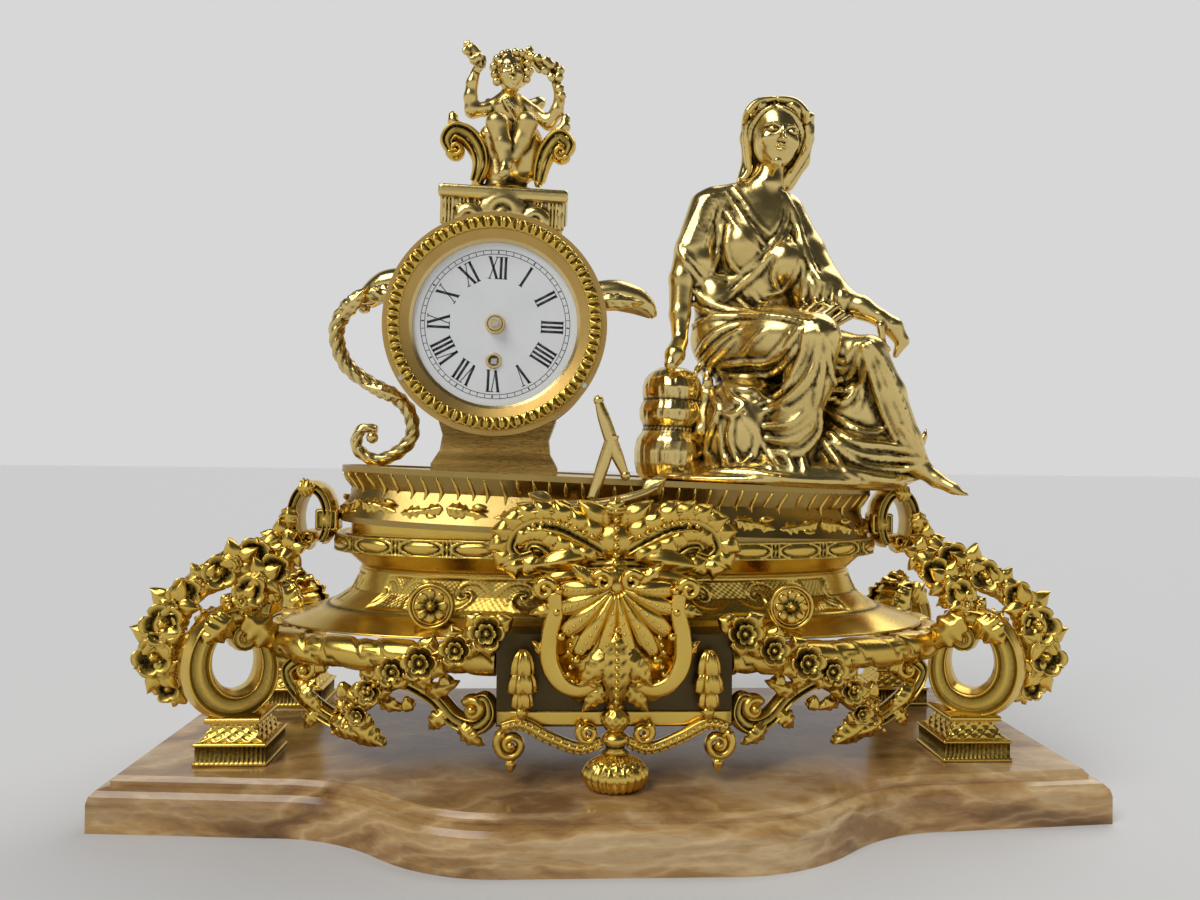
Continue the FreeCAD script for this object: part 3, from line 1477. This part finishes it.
def make_balance():
    """Balance wheel with two arms, staff and roller."""
    rim = turned([(balance_radius, balance_y), (balance_radius, balance_y + wheel_thickness),
                  (balance_radius - balance_rim, balance_y + wheel_thickness),
                  (balance_radius - balance_rim, balance_y)],
                 balance_at[0], balance_at[1])
    left = polar(balance_at, 20.0, balance_radius - balance_rim * 0.7)
    right = polar(balance_at, 200.0, balance_radius - balance_rim * 0.7)
    bar = flat_arm(left, right, balance_rim, balance_y, wheel_thickness)
    low = inner_front_y - pivot_reach
    high = cock_y + cock_thickness * 0.6
    staff = disc_y(balance_at[0], balance_at[1], pivot_radius, low, high - low)
    roller_y = escape_wheel_y - lever_thickness - lever_y_gap - 2 * wheel_thickness
    roller = disc_y(balance_at[0], balance_at[1], roller_radius - impulse_pin_radius, roller_y,
                    wheel_thickness)
    pin_at = polar(balance_at, balance_degrees + full_turn / 2, roller_radius - 2.6 * impulse_pin_radius)
    pin = disc_y(pin_at[0], pin_at[1], impulse_pin_radius, roller_y, 2 * wheel_thickness + lever_thickness)
    return fuse([rim, bar, staff, roller, pin])


cock_y = balance_y + wheel_thickness + cock_gap
cock_foot_degrees = 200.0
cock_width = 7.0


def make_cock():
    """The bridge over the balance, screwed to the back plate."""
    foot = polar(balance_at, cock_foot_degrees, balance_radius + cock_width * 0.75)
    arm = flat_arm(foot, balance_at, cock_width, cock_y, cock_thickness)
    post = disc_y(foot[0], foot[1], cock_width / 2, outer_back_y, cock_y + cock_thickness - outer_back_y)
    cock = arm.fuse(post)
    hole = disc_y(balance_at[0], balance_at[1], pivot_radius + pivot_clearance, cock_y - cut_overrun,
                  cock_thickness * 0.6 + cut_overrun + pivot_clearance)
    screw = disc_y(foot[0], foot[1], plate_screw_radius, outer_back_y - cut_overrun,
                   cock_y - outer_back_y + cock_thickness + 2 * cut_overrun)
    return cock.cut(hole).cut(screw), foot


def spiral_strip(centre, inner, outer, turns, thickness, y, width, start_degrees):
    """A flat spring wound in its plane, as one strip."""
    steps = 10 * turns
    far = []
    near = []
    for index in range(steps + 1):
        share = index / steps
        angle = math.radians(start_degrees) + 2 * math.pi * turns * share
        radius = inner + (outer - inner) * share
        far.append(V(centre[0] + radius * math.cos(angle), y, centre[1] + radius * math.sin(angle)))
        near.append(V(centre[0] + (radius - thickness) * math.cos(angle), y,
                      centre[1] + (radius - thickness) * math.sin(angle)))
    points = far + near[::-1]
    return Part.Face(Part.makePolygon(points + points[:1])).extrude(V(0, width, 0))


hairspring_thickness = 0.3
hairspring_turns = 3
hairspring_radius = 5.5


def make_hairspring():
    y = balance_y + wheel_thickness + hairspring_y_gap
    spring = spiral_strip(balance_at, pivot_radius + hairspring_thickness * 3, hairspring_radius,
                          hairspring_turns,
                          hairspring_thickness, y, wheel_thickness, 0.0)
    collet = disc_y(balance_at[0], balance_at[1], pivot_radius + hairspring_thickness * 3, y, wheel_thickness)
    return spring.fuse(collet).cut(disc_y(balance_at[0], balance_at[1], pivot_radius, y - cut_overrun,
                                          wheel_thickness + 2 * cut_overrun))


def make_barrel():
    """The going barrel: a drum with the great wheel's teeth round its front, open at the back."""
    wheel = gear(barrel_at, great_teeth, great_module, 90.0 + full_turn / great_teeth / 2, barrel_front_y,
                 2 * wheel_thickness, wheel_addendum_share, wheel_dedendum_share)
    drum = disc_y(barrel_at[0], barrel_at[1], barrel_radius, barrel_front_y, barrel_length)
    hollow_low = barrel_front_y + barrel_wall
    hollow = disc_y(barrel_at[0], barrel_at[1], barrel_radius - barrel_wall, hollow_low, barrel_length)
    bore = disc_y(barrel_at[0], barrel_at[1], winding_radius + pivot_clearance, barrel_front_y - cut_overrun,
                  barrel_length)
    return wheel.fuse(drum).cut(hollow).cut(bore)


def make_barrel_lid():
    y = barrel_front_y + barrel_length - barrel_wall
    lid = disc_y(barrel_at[0], barrel_at[1], barrel_radius - barrel_wall, y, barrel_wall)
    return lid.cut(disc_y(barrel_at[0], barrel_at[1], winding_radius + pivot_clearance, y - cut_overrun,
                          barrel_wall + 2 * cut_overrun))


def make_mainspring():
    y = barrel_front_y + barrel_wall + body_clearance
    width = barrel_length - 2 * barrel_wall - 2 * body_clearance
    return spiral_strip(barrel_at, barrel_hub_radius + mainspring_thickness + body_clearance,
                        barrel_radius - barrel_wall, mainspring_turns, mainspring_thickness, y, width, 0.0)


def make_winding_arbor():
    """The barrel arbor: hub inside the barrel, a pivot in each plate and the winding square in front."""
    x, z = barrel_at
    shaft = disc_y(x, z, winding_radius, ratchet_y, outer_back_y - ratchet_y)
    hub_low = barrel_front_y + barrel_wall + body_clearance
    hub = disc_y(x, z, barrel_hub_radius, hub_low, barrel_length - 2 * barrel_wall - 2 * body_clearance)
    half = winding_square / 2
    square = Part.makeBox(winding_square, ratchet_y - winding_front_y, winding_square,
                          V(x - half, winding_front_y, z - half))
    return fuse([shaft, hub, square])


def make_ratchet():
    step = 2 * math.pi / ratchet_teeth
    points = []
    for index in range(ratchet_teeth):
        middle = index * step
        for radius, offset in ((ratchet_radius - ratchet_depth, 0.0), (ratchet_radius, 0.85),
                               (ratchet_radius, 0.98)):
            angle = middle + offset * step
            points.append(V(barrel_at[0] + radius * math.cos(angle), ratchet_y,
                            barrel_at[1] + radius * math.sin(angle)))
    wheel = Part.Face(Part.makePolygon(points + points[:1])).extrude(V(0, wheel_thickness, 0))
    return wheel.cut(disc_y(barrel_at[0], barrel_at[1], winding_radius, ratchet_y - cut_overrun,
                            wheel_thickness + 2 * cut_overrun))


click_degrees = -20.0
click_distance = 12.5
click_width = 2.4


def click_place():
    return polar(barrel_at, click_degrees, click_distance)


def make_click():
    """The pawl that rests on the ratchet wheel, on its own shoulder screw."""
    pivot = click_place()
    tip = polar(barrel_at, click_degrees + 42.0, ratchet_radius + click_width / 2 + body_clearance)
    click = flat_arm(pivot, tip, click_width, ratchet_y, wheel_thickness)
    click = click.fuse(disc_y(pivot[0], pivot[1], click_width, ratchet_y, wheel_thickness))
    return click.cut(disc_y(pivot[0], pivot[1], plate_screw_radius + pivot_clearance, ratchet_y - cut_overrun,
                            wheel_thickness + 2 * cut_overrun))


def make_cannon_pinion():
    """The pinion and tube that carry the minute hand's seat, tight on the centre arbor."""
    x, z = centre_at
    wheel = gear(centre_at, cannon_teeth, minute_module, minute_degrees, motion_y - wheel_thickness / 2,
                 2 * wheel_thickness - body_clearance,
                 pinion_addendum_share, pinion_dedendum_share)
    low = cannon_front_y + minute_seat_length
    tube = disc_y(x, z, cannon_radius, low, motion_y - wheel_thickness / 4 - low)
    seat = disc_y(x, z, minute_seat_radius, cannon_front_y, minute_seat_length)
    return fuse([wheel, tube, seat]).cut(disc_y(x, z, centre_radius, cannon_front_y - cut_overrun,
                                                motion_y - cannon_front_y + 4 * wheel_thickness))


def make_hour_wheel():
    """The wheel and pipe that turn once in twelve hours and carry the hour hand's seat."""
    x, z = centre_at
    wheel = gear(centre_at, hour_teeth, hour_module, minute_degrees, hour_wheel_y, wheel_thickness,
                 wheel_addendum_share, wheel_dedendum_share)
    low = hour_pipe_front_y + hour_seat_length
    pipe = disc_y(x, z, hour_pipe_radius, low, hour_wheel_y - low)
    seat = disc_y(x, z, hour_seat_radius, hour_pipe_front_y, hour_seat_length)
    bore = disc_y(x, z, cannon_radius + pivot_clearance, hour_pipe_front_y - cut_overrun,
                  hour_wheel_y - hour_pipe_front_y + wheel_thickness + 2 * cut_overrun)
    return fuse([wheel, pipe, seat]).cut(bore)


minute_post_radius = 1.2


def make_minute_wheel():
    x, z = minute_at
    wheel = gear(minute_at, minute_teeth, minute_module, facing(minute_degrees, minute_teeth), motion_y,
                 wheel_thickness, wheel_addendum_share, wheel_dedendum_share)
    low = hour_wheel_y - body_clearance
    small = gear(minute_at, minute_pinion_teeth, hour_module, facing(minute_degrees, minute_pinion_teeth),
                 low,
                 motion_y - low, pinion_addendum_share, pinion_dedendum_share)
    return wheel.fuse(small).cut(disc_y(x, z, minute_post_radius + pivot_clearance, low - cut_overrun,
                                        motion_y - low + wheel_thickness + 2 * cut_overrun))


def plate_screw_places():
    return [polar(centre_at, degrees, pillar_circle) for degrees in pillar_degrees]


case_screw_degrees = (45.0, 135.0, 225.0, 315.0)
case_screw_circle = 46.0
case_screw_length = 5.0


def case_screws(radius, y_low, y_high):
    rods = []
    for degrees in case_screw_degrees:
        x, z = polar(centre_at, degrees, case_screw_circle)
        rods.append(disc_y(x, z, radius, y_low, y_high - y_low))
    return rods


def make_front_plate():
    """The plate behind the dial, on the case's shoulder, with the minute wheel's post and click screw."""
    plate = disc_y(drum_x, drum_z, front_plate_radius, front_plate_y, plate_thickness)
    for centre in (third_at, fourth_at, escape_at, lever_at, balance_at):
        plate = plate.cut(pivot_hole(centre, pivot_radius))
    plate = plate.cut(pivot_hole(centre_at, centre_radius)).cut(pivot_hole(barrel_at, winding_radius))
    for x, z in plate_screw_places():
        plate = plate.cut(disc_y(x, z, plate_screw_radius, front_plate_y - cut_overrun,
                                 plate_thickness + 2 * cut_overrun))
    for hole in case_screws(plate_screw_radius, front_plate_y - cut_overrun,
                            front_plate_y + plate_thickness + cut_overrun):
        plate = plate.cut(hole)
    for degrees in dial_foot_degrees:
        x, z = polar(centre_at, degrees, dial_foot_circle)
        plate = plate.cut(disc_y(x, z, dial_foot_radius, front_plate_y - cut_overrun,
                                 plate_thickness + 2 * cut_overrun))
    post = disc_y(minute_at[0], minute_at[1], minute_post_radius, hour_wheel_y - 2 * body_clearance,
                  front_plate_y - hour_wheel_y + 2 * body_clearance)
    click_x, click_z = click_place()
    click_post = disc_y(click_x, click_z, plate_screw_radius, ratchet_y - wheel_thickness / 2,
                        front_plate_y - ratchet_y + wheel_thickness / 2)
    return plate.fuse(post).fuse(click_post)


def make_back_plate(cock_foot):
    plate = disc_y(drum_x, drum_z, plate_radius, back_plate_y, plate_thickness)
    for centre in (centre_at, third_at, fourth_at, escape_at, lever_at, balance_at):
        plate = plate.cut(pivot_hole(centre, pivot_radius))
    plate = plate.cut(pivot_hole(barrel_at, winding_radius))
    for x, z in plate_screw_places() + [cock_foot]:
        plate = plate.cut(disc_y(x, z, plate_screw_radius, back_plate_y - cut_overrun,
                                 plate_thickness + 2 * cut_overrun))
    return plate


def make_pillars():
    pillars = []
    for x, z in plate_screw_places():
        pillar = disc_y(x, z, pillar_radius, inner_front_y, back_plate_y - inner_front_y)
        for low in (inner_front_y - cut_overrun, back_plate_y - pillar_radius * 2):
            pillar = pillar.cut(disc_y(x, z, plate_screw_radius, low, pillar_radius * 2 + cut_overrun))
        pillars.append(pillar)
    return Part.makeCompound(pillars)


def slotted_screw(x, z, y, direction, length):
    """A cheese-head screw that enters along Y."""
    head_y = y - wheel_thickness if direction > 0 else y
    head = disc_y(x, z, plate_screw_head, head_y, wheel_thickness)
    shank_y = y if direction > 0 else y - length
    return head.fuse(disc_y(x, z, plate_screw_radius, shank_y, length))


def make_clock_screws(cock_foot):
    screws = []
    reach = plate_thickness + pillar_radius
    for x, z in plate_screw_places():
        screws.append(slotted_screw(x, z, front_plate_y, 1, reach))
        screws.append(slotted_screw(x, z, outer_back_y, -1, reach))
    for degrees in case_screw_degrees:
        x, z = polar(centre_at, degrees, case_screw_circle)
        screws.append(slotted_screw(x, z, front_plate_y, 1, plate_thickness + case_wall))
    length = cock_y + cock_thickness - back_plate_y
    screws.append(slotted_screw(cock_foot[0], cock_foot[1], cock_y + cock_thickness, -1, length))
    return Part.makeCompound(screws + bezel_screws())


def bezel_screws():
    screws = []
    for x, z in bezel_screw_places():
        shank = disc_y(x, z, bezel_screw_radius, bezel_rim_front_y, bezel_screw_length)
        head = disc_y(x, z, bezel_screw_head, bezel_rim_front_y - bezel_screw_radius, bezel_screw_radius)
        screws.append(head.fuse(shank))
    return screws


def build_base():
    save("onyx_plinth", make_plinth())
    studs, nuts = make_studs()
    save("leg_studs", studs)
    save("leg_nuts", nuts)
    core = make_rail_core()
    body = make_body()
    robe_block = lean(oval_form(woman_rows(woman_robe_shares)[:3], 14))
    body_block = fuse([stack(body_levels(0) + [
        (egg_band_half_length - egg_band_thickness / 2, egg_band_half_depth - egg_band_thickness / 2,
         egg_band_height),
        (egg_band_half_length, egg_band_half_depth, egg_band_height + egg_band_thickness / 2),
        (egg_band_half_length - egg_band_thickness / 2, egg_band_half_depth - egg_band_thickness / 2,
         egg_band_height + egg_band_thickness)])])
    basin_block = lean(stack(basin_levels()))
    panel = make_panel().cut(body_block)
    rail_gap = Part.makeBox(2 * (panel_half_width + body_clearance),
                            2 * rail_wall + panel_back_y - panel_front_y,
                            plinth_depth, V(-panel_half_width - body_clearance, panel_front_y - rail_wall, 0))
    rail = make_rail(core).cut(rail_gap)
    save("ribbon_rail", rail)
    save("base_body", body)
    save("basin", lean(make_basin()))
    save("deck_plate", lean(make_deck(bolt_shanks(bolt_hole_radius))))
    legs = []
    for x, y, side, depth_sign, name in leg_places:
        leg = make_leg(x, y, side, depth_sign, core, body_block)
        legs.append(leg)
        save("leg_" + name, leg)
    save("front_panel", panel)
    cartouche = make_cartouche(panel).cut(core)
    save("cartouche", cartouche)
    pendants = [make_pendant(side).cut(panel).cut(cartouche) for side in (-1, 1)]
    save("husk_pendants", Part.makeCompound(pendants))
    for side, name, pendant in ((-1, "left", pendants[0]), (1, "right", pendants[1])):
        apron = make_apron(side, core, panel)
        for leg in legs:
            apron = apron.cut(leg)
        apron = max(apron.cut(cartouche).Solids, key=lambda solid: solid.Volume)
        save("apron_" + name, apron)
        bracket = make_bracket(side, fuse([body_block, basin_block]))
        if side > 0:
            bracket = bracket.cut(robe_block)
        save("bracket_" + name, bracket)
        garland = make_garland(side, [bracket, body_block] + legs)
        save("garland_" + name, garland)
        save("flower_cluster_" + name,
             make_cluster(side, [core, panel, cartouche, pendant, apron, body_block]))
    save("rosettes", make_rosettes(body_block))
    crest = make_crest(body_block, basin_block)
    save("centre_crest", crest)
    save("anchor", lean(make_anchor([]).cut(stack(basin_levels()))).cut(crest))


def build_drum():
    case_block = disc_y(drum_x, drum_z, case_radius, bezel_back_y, case_back_y - bezel_back_y)
    flange_block = disc_y(drum_x, drum_z, case_flange_radius, case_back_y - case_flange_thickness,
                          case_flange_thickness)
    bezel_block = disc_y(drum_x, drum_z, bezel_radius, bezel_rim_front_y, bezel_back_y - bezel_rim_front_y)
    holes = case_screws(plate_screw_radius, front_plate_y, front_plate_y + plate_thickness + case_wall)
    for x, z in bezel_screw_places():
        holes.append(disc_y(x, z, bezel_screw_radius, bezel_rim_front_y, bezel_screw_length))
    horns = [make_horn(horn_route_left, horn_radii_left, []),
             make_horn(horn_route_right, horn_radii_right, [])]
    inside = disc_y(drum_x, drum_z, case_radius - case_wall, bezel_back_y, case_back_y - bezel_back_y)
    ahead = disc_y(drum_x, drum_z, bezel_radius, bezel_front_y - cut_overrun,
                   bezel_back_y - bezel_front_y + cut_overrun)
    horns = [horn.cut(inside).cut(ahead) for horn in horns]
    save("drum_case", lean(make_case(holes + bolt_shanks(bolt_radius), horns)))
    save("pedestal", lean(make_pedestal(case_block.fuse(flange_block).fuse(bezel_block),
                                        bolt_shanks(bolt_radius))))
    save("bezel", lean(make_bezel()))
    save("sight_ring", lean(make_sight_ring()))
    save("dial", lean(make_dial()))
    collars = [make_collar(drum_x, drum_z, collar_radius, collar_bore, collar_height),
               make_collar(drum_x, drum_z - barrel_drop, grommet_radius, grommet_bore, grommet_height)]
    save("dial_collars", lean(Part.makeCompound(collars)))
    save("rear_door", lean(make_door()))
    save("door_hinge_pin", lean(make_hinge_pin()))
    blocks = [case_block, flange_block, bezel_block]
    save("console_scroll", lean(make_console(blocks + horns)))
    crest = fuse([make_platform(case_block.fuse(flange_block).fuse(bezel_block)), make_leaf_scroll(-1),
                  make_leaf_scroll(1)])
    save("drum_crest", lean(crest))
    save("putto", lean(make_putto([crest])))


def build_figures():
    bale = make_bale()
    hole_rods = bolt_shanks(bolt_radius)
    deck_slab = stack([(rim_half_length, rim_half_depth, basin_foot_height),
                       (rim_half_length, rim_half_depth, deck_top)])
    woman = make_woman([bale, deck_slab, stack([
        (rim_half_length, rim_half_depth, basin_foot_height),
        (rim_half_length, rim_half_depth, basin_height)]).cut(stack([
            (rim_half_length - rim_lip, rim_half_depth - rim_lip, deck_top),
            (rim_half_length - rim_lip, rim_half_depth - rim_lip, basin_height)]))] + hole_rods)
    save("woman", lean(woman))
    for hole in hole_rods:
        bale = bale.cut(hole)
    save("bale", lean(bale))
    save("deck_bolts", lean(make_deck_bolts()))


def build_movement():
    cock, cock_foot = make_cock()
    nodes = (
        ("front_plate", make_front_plate()),
        ("back_plate", make_back_plate(cock_foot)),
        ("pillars", make_pillars()),
        ("clock_screws", make_clock_screws(cock_foot)),
        ("barrel", make_barrel()),
        ("barrel_lid", make_barrel_lid()),
        ("mainspring", make_mainspring()),
        ("winding_arbor", make_winding_arbor()),
        ("ratchet_wheel", make_ratchet()),
        ("click", make_click()),
        ("centre_wheel", make_centre_wheel()),
        ("third_wheel", make_train_wheel(
            third_at, third_teeth, third_module, fourth_degrees, third_wheel_y, third_pinion_teeth,
            centre_module,
            facing(third_degrees, third_pinion_teeth), centre_wheel_y)),
        ("fourth_wheel", make_train_wheel(
            fourth_at, fourth_teeth, fourth_module, escape_degrees, fourth_wheel_y, fourth_pinion_teeth,
            third_module,
            facing(fourth_degrees, fourth_pinion_teeth), third_wheel_y)),
        ("escape_wheel", make_escape_wheel()),
        ("pallet_lever", make_lever()),
        ("balance_wheel", make_balance()),
        ("hairspring", make_hairspring()),
        ("balance_cock", cock),
        ("cannon_pinion", make_cannon_pinion()),
        ("minute_wheel", make_minute_wheel()),
        ("hour_wheel", make_hour_wheel()),
    )
    for name, shape in nodes:
        save(name, lean(shape))


build_base()
build_drum()
build_figures()
build_movement()
